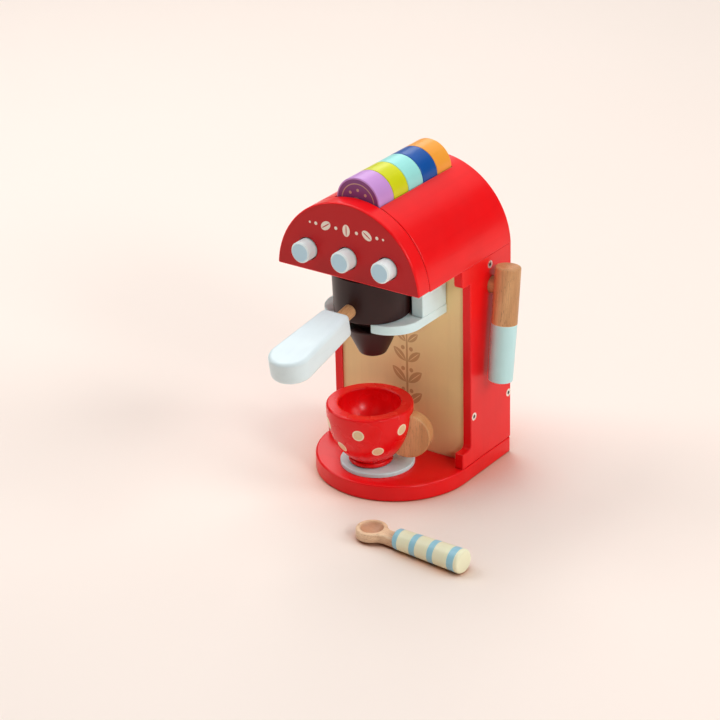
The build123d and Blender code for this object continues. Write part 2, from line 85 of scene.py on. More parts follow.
def make_camera():
    data = bpy.data.cameras.new("camera")
    data.sensor_width = SENSOR_WIDTH
    data.lens = FOCAL_PIXELS / IMAGE_PIXELS * SENSOR_WIDTH
    data.clip_end = 50
    camera = bpy.data.objects.new("camera", data)
    back = direction(CAMERA_AZIMUTH, CAMERA_ELEVATION)
    right = (-back).cross(Vector((0, 0, 1))).normalized()
    up = right.cross(-back)
    turned_right = right * cos(CAMERA_ROLL) + up * sin(CAMERA_ROLL)
    turned_up = up * cos(CAMERA_ROLL) - right * sin(CAMERA_ROLL)
    matrix = Matrix((turned_right, turned_up, back)).transposed().to_4x4()
    matrix.translation = CAMERA_TARGET + back * CAMERA_DISTANCE
    camera.matrix_world = matrix
    bpy.context.scene.collection.objects.link(camera)
    bpy.context.scene.camera = camera


def make_light(name, azimuth, elevation, distance, side, watts):
    """Square soft box that faces the object."""
    data = bpy.data.lights.new(name, "AREA")
    data.shape = "SQUARE"
    data.size = side
    data.energy = watts
    light = bpy.data.objects.new(name, data)
    towards = direction(radians(azimuth), radians(elevation))
    light.location = LIGHT_TARGET + towards * distance
    light.rotation_mode = "QUATERNION"
    light.rotation_quaternion = (-towards).to_track_quat("-Z", "Y")
    bpy.context.scene.collection.objects.link(light)


def make_stage():
    """Pale floor, soft boxes, a faint even light and a pale backdrop that lights nothing."""
    mesh = bpy.data.meshes.new("floor")
    corners = [(-1, -1), (1, -1), (1, 1), (-1, 1)]
    mesh.from_pydata([(x * FLOOR_HALF, y * FLOOR_HALF, 0) for x, y in corners], [], [(0, 1, 2, 3)])
    mesh.materials.append(floor_material())
    floor = bpy.data.objects.new("floor", mesh)
    bpy.context.scene.collection.objects.link(floor)
    for name, settings in SOFT_BOXES.items():
        make_light(name, *settings)
    world = bpy.data.worlds.new("studio")
    bpy.context.scene.world = world
    world.use_nodes = True
    nodes, links = world.node_tree.nodes, world.node_tree.links
    ambient = nodes["Background"]
    ambient.inputs["Color"].default_value = AMBIENT_COLOUR
    ambient.inputs["Strength"].default_value = AMBIENT_STRENGTH
    backdrop = nodes.new("ShaderNodeBackground")
    backdrop.inputs["Color"].default_value = BACKDROP_COLOUR
    seen = nodes.new("ShaderNodeMixShader")
    links.new(nodes.new("ShaderNodeLightPath").outputs["Is Camera Ray"], seen.inputs[0])
    links.new(ambient.outputs[0], seen.inputs[1])
    links.new(backdrop.outputs[0], seen.inputs[2])
    links.new(seen.outputs[0], nodes["World Output"].inputs["Surface"])
    bpy.context.scene.view_settings.view_transform = "Standard"


# ---------------------------------------------------------------- material nodes

def linear(red, green, blue):
    """Linear colour from 0-255 screen values."""
    def one(value):
        share = value / 255
        return share / 12.92 if share <= 0.04045 else ((share + 0.055) / 1.055) ** 2.4

    return (one(red), one(green), one(blue), 1.0)


def shade(colour, factor):
    """The same colour, darker or lighter."""
    return tuple(min(1.0, value * factor) for value in colour[:3]) + (1.0,)


PROBE_SAMPLES = 6  # rays that look for edges and hollows
EDGE_RADIUS = 0.9 * MM
EDGE_TURN = (0.93, 0.995)  # cosine between the rounded and the real normal: full edge, and none
HOLLOW_OPENNESS = (0.25, 0.95)  # open share of the surroundings: full hollow, and none
FAR = 1000.0  # unit length that takes an axis out of a distance
PRINT_SOFTNESS = 0.12 * MM


class Shader:
    """A material's node tree with short calls for the nodes that are used here."""

    def __init__(self, name):
        self.material = bpy.data.materials.new(name)
        self.material.use_nodes = True
        self.tree = self.material.node_tree
        self.surface = self.tree.nodes["Principled BSDF"]
        self.coordinates = self.tree.nodes.new("ShaderNodeTexCoord").outputs["Object"]

    def put(self, socket, value):
        """Links a socket to another one, or sets its value."""
        if isinstance(value, bpy.types.NodeSocket):
            self.tree.links.new(value, socket)
        else:
            socket.default_value = value

    def set(self, name, value):
        """Links or sets an input of the surface."""
        self.put(self.surface.inputs[name], value)

    def math(self, operation, first, second=0.0, third=0.0):
        node = self.tree.nodes.new("ShaderNodeMath")
        node.operation = operation
        for socket, value in zip(node.inputs, (first, second, third)):
            self.put(socket, value)
        return node.outputs[0]

    def vector_math(self, operation, first, second=(0.0, 0.0, 0.0)):
        node = self.tree.nodes.new("ShaderNodeVectorMath")
        node.operation = operation
        self.put(node.inputs[0], first)
        self.put(node.inputs[1], second)
        return node.outputs["Value" if operation in ("DISTANCE", "LENGTH", "DOT_PRODUCT") else "Vector"]

    def framed(self, middle=(0, 0, 0), turn=(0, 0, 0), size=(1, 1, 1), coordinates=None):
        """Coordinates in a frame with its own middle, turn and unit lengths along its axes."""
        node = self.tree.nodes.new("ShaderNodeMapping")
        node.vector_type = "TEXTURE"
        self.put(node.inputs["Vector"], coordinates or self.coordinates)
        node.inputs["Location"].default_value = middle
        node.inputs["Rotation"].default_value = turn
        node.inputs["Scale"].default_value = size
        return node.outputs["Vector"]

    def noise(self, coordinates, scale=1.0, detail=2.0, roughness=0.5):
        node = self.tree.nodes.new("ShaderNodeTexNoise")
        self.put(node.inputs["Vector"], coordinates)
        node.inputs["Scale"].default_value = scale
        node.inputs["Detail"].default_value = detail
        node.inputs["Roughness"].default_value = roughness
        return node.outputs["Fac"]

    def ramp(self, value, low, high, low_out=0.0, high_out=1.0):
        """Smooth step of a value between two ends."""
        node = self.tree.nodes.new("ShaderNodeMapRange")
        node.interpolation_type = "SMOOTHSTEP"
        self.put(node.inputs["Value"], value)
        ends = {"From Min": low, "From Max": high, "To Min": low_out, "To Max": high_out}
        for socket, number in ends.items():
            node.inputs[socket].default_value = number
        return node.outputs["Result"]

    def mix(self, share, first, second):
        node = self.tree.nodes.new("ShaderNodeMix")
        node.data_type = "RGBA"
        self.put(node.inputs[0], share)
        self.put(node.inputs[6], first)
        self.put(node.inputs[7], second)
        return node.outputs[2]

    def split(self, coordinates):
        node = self.tree.nodes.new("ShaderNodeSeparateXYZ")
        self.put(node.inputs[0], coordinates)
        return node.outputs

    def join(self, x, y, z):
        node = self.tree.nodes.new("ShaderNodeCombineXYZ")
        for socket, value in zip(node.inputs, (x, y, z)):
            self.put(socket, value)
        return node.outputs[0]

    def bump(self, height, distance):
        """Bump whose height of 1 stands for a distance in metres."""
        node = self.tree.nodes.new("ShaderNodeBump")
        node.inputs["Distance"].default_value = distance
        self.put(node.inputs["Height"], height)
        return node.outputs["Normal"]

    def edges(self, radius):
        """1 on outer and inner edges and 0 on flat faces."""
        bevel = self.tree.nodes.new("ShaderNodeBevel")
        bevel.samples = PROBE_SAMPLES
        bevel.inputs["Radius"].default_value = radius
        geometry = self.tree.nodes.new("ShaderNodeNewGeometry")
        same = self.vector_math("DOT_PRODUCT", bevel.outputs["Normal"], geometry.outputs["Normal"])
        return self.ramp(same, *EDGE_TURN, 1.0, 0.0)

    def hollows(self, distance):
        """1 in seams, inner corners and hollows, and 0 on open faces."""
        node = self.tree.nodes.new("ShaderNodeAmbientOcclusion")
        node.samples = PROBE_SAMPLES
        node.inputs["Distance"].default_value = distance
        return self.ramp(node.outputs["AO"], *HOLLOW_OPENNESS, 1.0, 0.0)

    # Printed shapes: each gives how far, in metres, a point lies outside the shape.

    def spot(self, coordinates, middle, radius):
        return self.math("SUBTRACT", self.vector_math("DISTANCE", coordinates, middle), radius)

    def oval(self, coordinates, middle, turn, half_length, half_width):
        """Oval in the XZ plane, its length along X before it is turned about Y."""
        place = self.framed(middle, (0, turn, 0), (half_length, FAR, half_width), coordinates)
        return self.math("MULTIPLY_ADD", self.vector_math("LENGTH", place), half_width, -half_width)

    def union(self, shapes):
        whole = shapes[0]
        for shape in shapes[1:]:
            whole = self.math("MINIMUM", whole, shape)
        return whole

    def without(self, shape, cut):
        return self.math("MAXIMUM", shape, self.math("MULTIPLY", cut, -1.0))

    def ink(self, shape):
        """1 inside a printed shape."""
        return self.ramp(shape, -PRINT_SOFTNESS, PRINT_SOFTNESS, 1.0, 0.0)


FLOOR_COLOURS = (linear(248, 233, 222), linear(251, 238, 229))
FLOOR_SHADE_COLOUR = linear(228, 166, 128)
FLOOR_SHADE_REACH = 0.08
FLOOR_SHADE = 0.9
FLOOR_PATCHES = 1.4  # per metre
FLOOR_FIBRES = 900
FLOOR_RELIEF = 0.02 * MM
FLOOR_ROUGHNESS = 0.8


def floor_material():
    """Paper with a painted warm shadow near the object; further away it turns into the backdrop."""
    shader = Shader("floor")
    base = shader.mix(shader.noise(shader.coordinates, FLOOR_PATCHES), *FLOOR_COLOURS)
    # Painted shadow: the floor darkens and warms close to the object.
    near = shader.math("MULTIPLY", shader.hollows(FLOOR_SHADE_REACH), FLOOR_SHADE)
    shader.set("Base Color", shader.mix(near, base, FLOOR_SHADE_COLOUR))
    fibre = shader.noise(shader.coordinates, FLOOR_FIBRES)
    shader.set("Normal", shader.bump(fibre, FLOOR_RELIEF))
    shader.set("Roughness", FLOOR_ROUGHNESS)
    nodes = shader.tree.nodes
    glow = nodes.new("ShaderNodeEmission")
    glow.inputs["Color"].default_value = BACKDROP_COLOUR
    fade = nodes.new("ShaderNodeMixShader")
    far = shader.ramp(shader.vector_math("LENGTH", shader.coordinates), *FLOOR_FADE)
    shader.put(fade.inputs[0], far)
    shader.put(fade.inputs[1], shader.surface.outputs[0])
    shader.put(fade.inputs[2], glow.outputs[0])
    shader.put(nodes["Material Output"].inputs["Surface"], fade.outputs[0])
    return shader.material


# ---------------------------------------------------------------- paint

PAINT_ROUGHNESS = 0.31
CUP_ROUGHNESS = 0.26
BROWN_ROUGHNESS = 0.34
PAINT_SPECULAR = 0.3
PAINT_RELIEF = 0.014 * MM
SEAM_REACH = 2.5 * MM
GRAIN_CELL = (3.5 * MM, 90 * MM)  # across and along the grain
GRAIN_SHARE = 0.16
GRAIN_RELIEF = 0.9  # relief of the grain over that of the orange peel
# noise cells per metre
TONE_CELLS = 18
GLOSS_CELLS = 60
CHIP_CELLS = 140
PEEL_CELLS = 240
# what the noise changes: darkest and lightest tone, and the roughness below and above its mean
TONES = (0.93, 1.04)
GLOSS_SPREAD = (-0.03, 0.05)
# edges: moved towards the primer for thin paint, then lightened further as painted highlight
PRIMER_SHARE = 0.18
PRIMER_GREY = 0.6
EDGE_HIGHLIGHT_LIGHTEN = 1.4
# painted shade in seams and hollows: factor of the darkest colour
SEAM_DARKEN = 0.3


def painted(name, colour, grain="z", roughness=PAINT_ROUGHNESS, prints=(), seam_shade=0.6, edge_wear_and_highlight=0.5):
    """Satin paint on wood: faint grain below, orange peel, uneven gloss, edges lightened partly by thin
    paint and partly as painted highlight, and painted shade in seams and hollows.

    Each print is a pair: a function that gives the printed share, and the print's colour.
    """
    shader = Shader(name)
    tone = shader.noise(shader.coordinates, TONE_CELLS, 3)
    dark, light = (shade(colour, factor) for factor in TONES)
    base = shader.mix(shader.ramp(tone, 0.3, 0.7), dark, light)
    cell = tuple(GRAIN_CELL[letter == grain] for letter in "xyz")
    streaks = shader.noise(shader.framed(size=cell))
    base = shader.mix(shader.ramp(streaks, 0.45, 0.8, 0.0, GRAIN_SHARE), base, shade(colour, 0.8))
    for print_share, print_colour in prints:
        base = shader.mix(print_share(shader), base, print_colour)
    # Painted shade: seams, inner corners and hollows darken, found by probing rays.
    painted_shade = shader.hollows(SEAM_REACH)
    edge = shader.math("MULTIPLY", shader.edges(EDGE_RADIUS), shader.math("SUBTRACT", 1.0, painted_shade))
    chips = shader.ramp(shader.noise(shader.coordinates, CHIP_CELLS, 3), 0.3, 0.7, 0.55, 1.0)
    # Painted highlight, partly wear: edges lighten towards a light primer colour, patchy along their
    # length.
    worn_and_highlit = shader.math("MULTIPLY", shader.math("MULTIPLY", edge, chips), edge_wear_and_highlight)
    base = shader.mix(worn_and_highlit, base, shade(toward_primer(colour), EDGE_HIGHLIGHT_LIGHTEN))
    # Painted shade darkens the seams and hollows.
    base = shader.mix(shader.math("MULTIPLY", painted_shade, seam_shade), base, shade(colour, SEAM_DARKEN))
    shader.set("Base Color", base)
    gloss = shader.noise(shader.coordinates, GLOSS_CELLS)
    glossy, dull = (roughness + change for change in GLOSS_SPREAD)
    shader.set("Roughness", shader.ramp(gloss, 0.0, 1.0, glossy, dull))
    shader.set("Specular IOR Level", PAINT_SPECULAR)
    peel = shader.noise(shader.coordinates, PEEL_CELLS, 1)
    relief = shader.math("MULTIPLY_ADD", streaks, GRAIN_RELIEF, peel)
    shader.set("Normal", shader.bump(relief, PAINT_RELIEF))
    return shader.material


def toward_primer(colour):
    """A colour moved a little towards the primer below the paint."""
    kept = 1 - PRIMER_SHARE
    return tuple(kept * value + PRIMER_SHARE * PRIMER_GREY for value in colour[:3]) + (1.0,)


# ---------------------------------------------------------------- bare and varnished wood

# noise cells of the wood, across and along its grain
WOBBLE_CELL = (28 * MM, 160 * MM)
FIBRE_CELL = (0.6 * MM, 16 * MM)
FLECK_CELL = (0.5 * MM, 4.5 * MM)
RING_WIDTH = 3.2 * MM
RING_SWIRL = 5.5  # how far the rings wander, in ring widths
LATE_WOOD = (0.45, 0.95)  # share of a ring where it darkens
RING_SHARE = 0.26
FIBRE_SHARE = 0.55
FLECK_SHARE = 0.6
# edges lighten partly by wear and partly as painted highlight
EDGE_SHARE = 0.4
WOOD_ROUGHNESS = (0.38, 0.54)
WOOD_RELIEF = 0.045 * MM


def wood(name, light, dark, grain="z", pith=(0.0, 0.0, 0.0), turn=(0, 0, 0), ring=RING_WIDTH,
         hollow_reach=5.5 * MM, hollow_shade=0.55, shade_overlays=()):
    """Clear-coated hardwood with growth rings about a pith line, fine fibres, short dark flecks, edges
    lightened partly by wear and partly as painted highlight, and painted shade in hollows.

    Each shade overlay is a pair: a function that gives the painted shade's share, and its colour.
    """
    shader = Shader(name)
    frame_in = shader.framed(pith, turn)

    def stretched(across, along):
        """Coordinates in the wood's frame with one unit length across and one along the grain."""
        size = tuple(along if letter == grain else across for letter in "xyz")
        return shader.framed(size=size, coordinates=frame_in)

    wobble = shader.noise(stretched(*WOBBLE_CELL))
    radius = shader.vector_math("LENGTH", stretched(1.0, FAR))
    swirl = shader.math("MULTIPLY_ADD", wobble, RING_SWIRL * ring, radius)
    phase = shader.math("FRACT", shader.math("DIVIDE", swirl, ring))
    late = shader.ramp(phase, *LATE_WOOD)
    early = shader.ramp(phase, LATE_WOOD[1], 1.0, 1.0, 0.0)
    rings = shader.math("MULTIPLY", late, early)
    fibres = shader.noise(stretched(*FIBRE_CELL), 1.0, 4, 0.65)
    flecks = shader.ramp(shader.noise(stretched(*FLECK_CELL)), 0.58, 0.7)
    broad = shader.noise(stretched(*WOBBLE_CELL), 2.1)
    base = shader.mix(shader.ramp(broad, 0.3, 0.7), light, dark)
    base = shader.mix(shader.math("MULTIPLY", rings, RING_SHARE), base, shade(dark, 0.82))
    base = shader.mix(shader.ramp(fibres, 0.4, 0.72, 0.0, FIBRE_SHARE), base, shade(dark, 0.78))
    base = shader.mix(shader.math("MULTIPLY", flecks, FLECK_SHARE), base, shade(dark, 0.5))
    for shade_share, shade_colour in shade_overlays:
        base = shader.mix(shade_share(shader), base, shade_colour)
    # Painted shade darkens seams and hollows; the edges lighten, partly by wear and partly as painted
    # highlight.
    painted_shade = shader.hollows(hollow_reach)
    edge = shader.math("MULTIPLY", shader.edges(EDGE_RADIUS), shader.math("SUBTRACT", 1.0, painted_shade))
    base = shader.mix(shader.math("MULTIPLY", edge, EDGE_SHARE), base, shade(light, 1.25))
    base = shader.mix(shader.math("MULTIPLY", painted_shade, hollow_shade), base, shade(dark, 0.4))
    shader.set("Base Color", base)
    shader.set("Roughness", shader.ramp(fibres, 0.2, 0.8, *WOOD_ROUGHNESS))
    relief = shader.math("SUBTRACT", fibres, flecks)
    shader.set("Normal", shader.bump(relief, WOOD_RELIEF))
    return shader.material


# ---------------------------------------------------------------- screws

TOP_SCREW_Y = 31.6 * MM
SCREW_HEAD = 3.0 * MM  # radius
SCREW_SOCKET = 1.45 * MM
# painted shade in the screws' sockets
SOCKET_SHADE_COLOUR = linear(70, 58, 52)
SOCKET_SHADE_SHARE = 0.85
NICKEL_COLOURS = (linear(232, 224, 212), linear(252, 248, 240))
NICKEL_METALLIC = 0.8
NICKEL_ROUGHNESS = (0.22, 0.42)
NICKEL_SPOTS = 900  # per metre
SCRATCH_CELL = (1 * MM, 0.05 * MM, 1.5 * MM)
SCRATCH_RELIEF = 0.01 * MM


def metal(node):
    """Nickel plate with fine scratches and dull spots, and painted shade in the screws' sockets."""
    shader = Shader("nickel")
    spots = shader.noise(shader.coordinates, NICKEL_SPOTS, 3)
    base = shader.mix(spots, *NICKEL_COLOURS)
    low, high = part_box(node)
    middles = (
        (0, low.y + SCREW_HEAD, low.z + SCREW_HEAD),
        (0, high.y - SCREW_HEAD, low.z + SCREW_HEAD),
        (0, TOP_SCREW_Y, high.z - SCREW_HEAD),
    )
    sockets = []
    for middle in middles:
        flat = shader.framed(middle, size=(FAR, 1, 1))
        sockets.append(shader.spot(flat, (0, 0, 0), SCREW_SOCKET))
    # Painted shade: dark colour in the screws' sockets.
    socket = shader.math("MULTIPLY", shader.ink(shader.union(sockets)), SOCKET_SHADE_SHARE)
    shader.set("Base Color", shader.mix(socket, base, SOCKET_SHADE_COLOUR))
    shader.set("Metallic", NICKEL_METALLIC)
    shader.set("Roughness", shader.ramp(spots, 0.3, 0.7, *NICKEL_ROUGHNESS))
    scratches = shader.noise(shader.framed(size=SCRATCH_CELL))
    shader.set("Normal", shader.bump(scratches, SCRATCH_RELIEF))
    return shader.material


# ---------------------------------------------------------------- colours

RED = linear(248, 14, 20)
# painted shade on the head's flat front face
FRONT_SHADE_RED = linear(200, 10, 18)
# painted shadow in the gaps round the knobs
SEAT_SHADOW = linear(70, 8, 12)
CREAM_PANEL = linear(254, 223, 162)
PANEL_BROWN = linear(176, 116, 66)
PALE_BLUE = linear(235, 250, 254)
BRACKET_BLUE = linear(224, 252, 255)
KNOB_BLUE = linear(236, 255, 255)
# painted shade on the knobs' flat fronts
KNOB_FRONT_SHADE = linear(201, 233, 248)
DISC_BLUE = linear(214, 252, 255)
BROWN = linear(50, 24, 23)
AQUA = linear(206, 246, 246)
WOOD_LIGHT = linear(232, 182, 128)
WOOD_DARK = linear(204, 146, 94)
SPOON_LIGHT = linear(255, 220, 182)
SPOON_DARK = linear(242, 190, 146)
# painted shade in the scoop's bowl
BOWL_SHADE = linear(204, 138, 104)
BOARD_LIGHT = linear(214, 182, 140)
BOARD_DARK = linear(186, 148, 104)
BAND_CREAM = linear(255, 250, 214)
BAND_BLUE = linear(160, 214, 232)
DOT_CREAM = linear(240, 212, 166)
DOT_RIM = linear(255, 240, 208)
ORNAMENT_CREAM = linear(252, 236, 220)

# side, printed face and motif of each pod
POD_COLOURS = {
    "lilac": (linear(208, 152, 220), linear(136, 76, 138), linear(226, 196, 150)),
    "lime": (linear(218, 222, 20), linear(150, 158, 14), linear(240, 238, 170)),
    "aqua": (linear(160, 232, 226), linear(86, 170, 170), linear(226, 246, 236)),
    "navy": (linear(10, 84, 168), linear(8, 46, 104), linear(150, 190, 226)),
    "orange": (linear(255, 168, 60), linear(206, 112, 24), linear(255, 226, 170)),
}

# ---------------------------------------------------------------- prints

CUP_DOT_RADIUS = 4.45 * MM
CUP_DOT_RIM = 1.0 * MM
CUP_UPPER_DOTS = (34.7 * MM, 31.4 * MM, (-71.4, -7.9, 52, 112, 171, 230))
CUP_LOWER_DOTS = (19.7 * MM, 27.0 * MM, (-105.4, -43.7, 77, 138, 197))


def cup_axis():
    """Middle of the cup's foot."""
    low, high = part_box("cup_body")
    return Vector(((low.x + high.x) / 2, (low.y + high.y) / 2, low.z))


def cup_dots(shader, radius=CUP_DOT_RADIUS):
    """Two staggered rows of round dots, with height, distance from the axis and angles of each row."""
    foot = cup_axis()
    spots = []
    for height, reach, angles in (CUP_UPPER_DOTS, CUP_LOWER_DOTS):
        for angle in angles:
            across = Vector((cos(radians(angle)), sin(radians(angle)), 0)) * reach
            middle = foot + across + Vector((0, 0, height))
            spots.append(shader.spot(shader.coordinates, middle, radius))
    return shader.ink(shader.union(spots))


def cup_dot_middles(shader):
    """The dots inside their lighter rims."""
    return cup_dots(shader, CUP_DOT_RADIUS - CUP_DOT_RIM)


SKIN_DEPTHS = (0.03 * MM, 0.06 * MM)  # below a flat face, where a print on it ends


def front_skin(shader, node):
    """1 on the flat front face of a CAD node."""
    front_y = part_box(node)[0].y
    near, deep = SKIN_DEPTHS
    return shader.ramp(shader.split(shader.coordinates)[1], front_y + near, front_y + deep, 1.0, 0.0)


ORNAMENT_HEIGHT = 208.6 * MM
BEAN_HALF_LENGTH = 4.5 * MM
BEAN_HALF_WIDTH = 3.1 * MM
BEAN_SLIT = (0.86, 0.42 * MM)  # length over the bean's, half width
BEAN_TURN = radians(35)
ORNAMENT_BEANS = ((0.0, radians(90)), (17.5 * MM, BEAN_TURN))  # place along X and turn
ORNAMENT_DOTS = ((8.8 * MM, 1.3 * MM), (26.0 * MM, 1.3 * MM), (31.2 * MM, 0.9 * MM))


def bean(shader, coordinates, middle, turn=BEAN_TURN):
    """Coffee bean: an oval with a slit along it."""
    body = shader.oval(coordinates, middle, turn, BEAN_HALF_LENGTH, BEAN_HALF_WIDTH)
    slit_share, slit_width = BEAN_SLIT
    slit = shader.oval(coordinates, middle, turn, BEAN_HALF_LENGTH * slit_share, slit_width)
    return shader.without(body, slit)


def front_face_shade(shader):
    """Painted shade: darker red on the flat front face, where less light falls."""
    return front_skin(shader, "head_front_plate")


KNOB_SEAT_RADIUS = 8.7 * MM


def knob_seat_shadows(shader):
    """Painted shadow: dark rings in the open gaps round the knobs."""
    spots = []
    for place in ("left", "centre", "right"):
        low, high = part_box(f"knob_{place}")
        flat = shader.framed((low + high) / 2, size=(1, FAR, 1))
        spots.append(shader.spot(flat, (0, 0, 0), KNOB_SEAT_RADIUS))
    return shader.ink(shader.union(spots))


def knob_front_shade(shader):
    """Painted shade: greyer paint on the flat front of the knobs, where less light falls."""
    return front_skin(shader, "knob_left")


def head_ornament(shader):
    """Row of plain beans and dots above the knobs, the same on both sides of the middle."""
    x, _, z = shader.split(shader.coordinates)
    flat = shader.join(shader.math("ABSOLUTE", x), 0.0, z)
    shapes = []
    for x_place, turn in ORNAMENT_BEANS:
        shapes.append(bean(shader, flat, (x_place, 0, ORNAMENT_HEIGHT), turn))
    for x_place, radius in ORNAMENT_DOTS:
        shapes.append(shader.spot(flat, (x_place, 0, ORNAMENT_HEIGHT), radius))
    share = shader.ink(shader.union(shapes))
    return shader.math("MULTIPLY", share, front_skin(shader, "head_front_plate"))


SPRIG_X = 4.0 * MM
SPRIG_STEM = (70.0 * MM, 40.0 * MM, 0.9 * MM)  # middle height, half length, half width
SPRIG_LEAVES = (  # height where it leaves the stem, half length
    (47.0 * MM, 8.0 * MM), (64.0 * MM, 8.0 * MM), (81.0 * MM, 7.2 * MM), (97.0 * MM, 6.0 * MM)
)
SPRIG_INK = 0.6
LEAF_TURN = radians(-42)
LEAF_SLENDER = 0.42  # half width over half length
LEAF_RIB = (0.8, 0.35 * MM)  # length over the leaf's, half width
LEAF_REACH = (1.05, 1.0 * MM)  # from the stem to the leaf's middle: times its half length, and more
BERRY_PLACE = (3.6 * MM, 11.5 * MM)  # from the stem, and above the leaf
BERRY_RADIUS = 1.7 * MM


def leaf(shader, coordinates, middle, turn, half_length):
    """Pointed leaf with a bare midrib."""
    half_width = half_length * LEAF_SLENDER
    radius = (half_length**2 + half_width**2) / (2 * half_width)
    place = shader.framed(middle, (0, turn, 0), (1, FAR, 1), coordinates)
    offset = radius - half_width
    sides = [shader.spot(place, (0, 0, side * offset), radius) for side in (-1, 1)]
    rib_share, rib_width = LEAF_RIB
    rib = shader.oval(place, (0, 0, 0), 0, half_length * rib_share, rib_width)
    return shader.without(shader.math("MAXIMUM", *sides), rib)


def panel_sprig(shader):
    """Upright sprig with pairs of leaves and berries on the front panel."""
    x, _, z = shader.split(shader.coordinates)
    away = shader.math("ABSOLUTE", shader.math("SUBTRACT", x, SPRIG_X))
    flat = shader.join(away, 0.0, z)
    stem_z, stem_half, stem_width = SPRIG_STEM
    shapes = [shader.oval(flat, (0, 0, stem_z), pi / 2, stem_half, stem_width)]
    reach_share, reach_more = LEAF_REACH
    berry_x, berry_rise = BERRY_PLACE
    for height, half_length in SPRIG_LEAVES:
        reach = half_length * reach_share + reach_more
        middle = (reach * cos(LEAF_TURN), 0, height - reach * sin(LEAF_TURN))
        shapes.append(leaf(shader, flat, middle, LEAF_TURN, half_length))
        shapes.append(shader.spot(flat, (berry_x, 0, height + berry_rise), BERRY_RADIUS))
    share = shader.ink(shader.union(shapes))
    skin = front_skin(shader, "front_panel")
    return shader.math("MULTIPLY", shader.math("MULTIPLY", share, skin), SPRIG_INK)


POD_INK = 0.75
POD_FACE_MARGIN = 1.3 * MM
POD_RING = (13.6 * MM, 0.35 * MM)  # radius and half width
POD_DOT_RING = 9.0 * MM
POD_DOT_COUNT = 8
POD_DOT_RADIUS = 1.15 * MM


def pod_prints(node, face_colour, motif_colour):
    """Printed disc on both faces of a pod, with a ring, a circle of dots and a bean."""
    low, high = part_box(node)
    middle = (low + high) / 2
    half = (high.y - low.y) / 2
    radius = (high.z - low.z) / 2
    near, deep = SKIN_DEPTHS

    def on_face(shader):
        y = shader.split(shader.coordinates)[1]
        across = shader.math("ABSOLUTE", shader.math("SUBTRACT", y, middle.y))
        return shader.ramp(across, half - deep, half - near)

    def from_middle(shader):
        return shader.framed(middle, size=(1, FAR, 1))

    def face(shader):
        share = shader.ink(shader.spot(from_middle(shader), (0, 0, 0), radius - POD_FACE_MARGIN))
        return shader.math("MULTIPLY", share, on_face(shader))

    def motif(shader):
        place = from_middle(shader)
        ring_radius, ring_half = POD_RING
        from_ring = shader.spot(place, (0, 0, 0), ring_radius)
        shapes = [shader.math("SUBTRACT", shader.math("ABSOLUTE", from_ring), ring_half)]
        shapes.append(bean(shader, place, (0, 0, 0)))
        for number in range(POD_DOT_COUNT):
            angle = 2 * pi * number / POD_DOT_COUNT
            spot_place = (cos(angle) * POD_DOT_RING, 0, sin(angle) * POD_DOT_RING)
            shapes.append(shader.spot(place, spot_place, POD_DOT_RADIUS))
        share = shader.ink(shader.union(shapes))
        return shader.math("MULTIPLY", shader.math("MULTIPLY", share, on_face(shader)), POD_INK)

    return ((face, face_colour), (motif, motif_colour))


SPOON_ANGLE = radians(-4.3)
SPOON_NECK_END = 23.2 * MM  # grip's root from the middle of the scoop
SPOON_BANDS = ((-1.0, 4.6), (15.7, 20.7), (31.8, 36.8), (49.4, 55.2))  # mm along the grip


def spoon_middle():
    """Middle of the round scoop, on the floor."""
    low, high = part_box("spoon_scoop")
    radius = (high.y - low.y) / 2
    return Vector((low.x + radius, low.y + radius, 0))


SCOOP_BOWL_RADIUS = 8.9 * MM
SCOOP_SHADE_DEPTHS = (3.0 * MM, 0.3 * MM)  # below the rim: full painted shade, and none
SCOOP_SHADE = 0.75


def scoop_bowl_shade(shader):
    """Painted shade: darker wood in the scoop's bowl, deeper down more so."""
    flat = shader.framed(spoon_middle(), size=(1, 1, FAR))
    inside = shader.ink(shader.spot(flat, (0, 0, 0), SCOOP_BOWL_RADIUS))
    rim_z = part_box("spoon_scoop")[1].z
    full, none = SCOOP_SHADE_DEPTHS
    height = shader.split(shader.coordinates)[2]
    depth = shader.ramp(height, rim_z - full, rim_z - none, SCOOP_SHADE, 0.0)
    return shader.math("MULTIPLY", inside, depth)


def spoon_bands(shader):
    """Rings round the grip of the spoon."""
    along = Vector((cos(SPOON_ANGLE), sin(SPOON_ANGLE), 0))
    root = spoon_middle() + along * SPOON_NECK_END
    reach = shader.vector_math("DOT_PRODUCT", shader.framed(root), along)
    bands = []
    for start, end in SPOON_BANDS:
        from_middle = shader.math("ABSOLUTE", shader.math("SUBTRACT", reach, (start + end) / 2 * MM))
        bands.append(shader.math("SUBTRACT", from_middle, (end - start) / 2 * MM))
    return shader.ink(shader.union(bands))


# ---------------------------------------------------------------- turned cup

CUP_STEPS = 128  # faces round the axis
CUP_MERGE = 0.001 * MM
CUP_SHARP = 0.25 * MM  # distance of the rings that keep a flat face flat beside a rounding
CUP_WAIST = (14.5 * MM, 4.2 * MM)  # radius and height above the foot
CUP_WIDEST = (32.0 * MM, 43.1 * MM)
CUP_TOP = 47.5 * MM
CUP_LIP_ROUND = 1.6 * MM
CUP_FOOT_ROUND = 2.1 * MM
CUP_FOOT_INSET = 0.2 * MM  # middle of the foot's rounding, inside the waist
CUP_FOOT_END = radians(84)
CUP_BOWL = (22.9 * MM, 44.6 * MM)  # radius of the bowl's sphere and height of its middle
CUP_MOUTH_ROUND = 1.2 * MM


def arc(middle, radii, start, end, steps):
    """Outline points on an oval arc; angles in radians from the direction away from the axis."""
    turns = [start + (end - start) * number / steps for number in range(steps + 1)]
    return [(middle[0] + radii[0] * cos(turn), middle[1] + radii[1] * sin(turn)) for turn in turns]


def round_arc(middle, radius, start, end, steps):
    return arc(middle, (radius, radius), start, end, steps)


